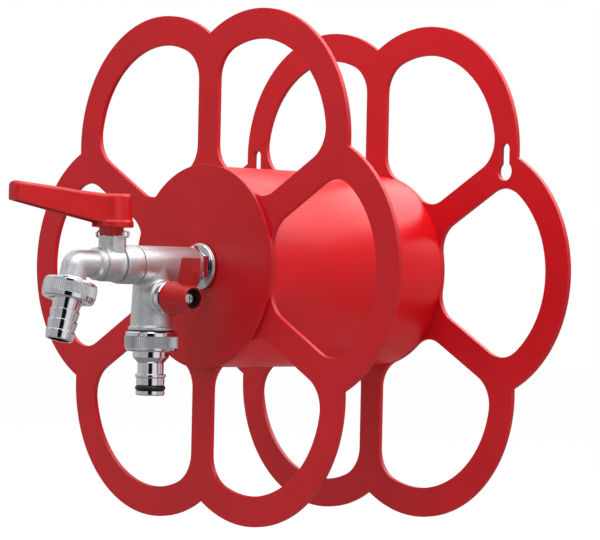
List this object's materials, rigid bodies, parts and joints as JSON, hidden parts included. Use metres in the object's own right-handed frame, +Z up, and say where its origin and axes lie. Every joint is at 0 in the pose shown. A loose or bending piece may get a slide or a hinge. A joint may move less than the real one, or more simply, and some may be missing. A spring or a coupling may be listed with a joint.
{
  "type": "wall hose holder with tap",
  "caption": "Wall-mounted hose holder: petal-shaped plates joined by a drum, and a garden tap on the front that feeds a hose barb and, past a side valve, a plug-in coupling nipple.",
  "frame": {"origin": "centre of the wall face, on the drum's axis, at the middle of the rear plate's service opening", "axes": "+Y points into the wall, so the tap and its lever stand out along -Y; +Z is up; +X is to the right of someone facing the wall, the side of the side valve's handle"},
  "size_m": [0.317, 0.28, 0.2948],
  "materials": {
    "plate_paint": "red powder coat with a fine orange-peel texture",
    "drum_paint": "smooth red powder coat",
    "cover_paint": "red powder coat, a little darker",
    "lever_red": "satin red plastic",
    "satin_nickel": "satin nickel plate over cast brass, fine grain",
    "chrome": "polished chrome plate",
    "brass": "turned brass",
    "zinc": "bright zinc-plated steel",
    "rubber": "matt black rubber",
    "seat_white": "white sealing plastic"
  },
  "bodies": {
    "holder": {"rear_plate": "plate_paint", "drum": "drum_paint", "front_plate": "plate_paint", "front_disc": "cover_paint", "inlet_nipple": "chrome", "flange_gasket": "rubber", "lock_washer": "zinc", "lock_nut": "brass", "tee_casting": "satin_nickel", "valve_body": "satin_nickel", "valve_seat_ring": "brass", "main_seats": "seat_white", "stem_seal": "seat_white", "gland_nut": "brass", "stop_plate": "zinc", "spout_elbow": "satin_nickel", "spout_washer": "rubber", "hose_tail": "chrome", "spout_nut": "chrome", "side_seats": "seat_white", "side_seat_ring": "brass", "side_seal": "seat_white", "side_gland": "brass", "nipple_washer": "rubber", "quick_nipple": "chrome", "nipple_ring": "rubber", "branch_nut": "chrome"},
    "main_valve": {"main_ball": "chrome", "main_stem": "brass", "main_lever": "lever_red", "lever_screw": "zinc"},
    "side_valve": {"side_ball": "chrome", "side_stem": "brass", "side_handle": "lever_red", "side_screw": "zinc"}
  },
  "joints": [
    {"name": "main_valve_turn", "type": "hinge", "parent": "holder", "child": "main_valve", "pos_m": [0, -0.209, 0], "axis": [0, 0, 1], "range_deg": [-90, 0]},
    {"name": "side_valve_turn", "type": "hinge", "parent": "holder", "child": "side_valve", "pos_m": [0, -0.179, -0.0184], "axis": [1, 0, 0], "range_deg": [-90, 0]}
  ]
}
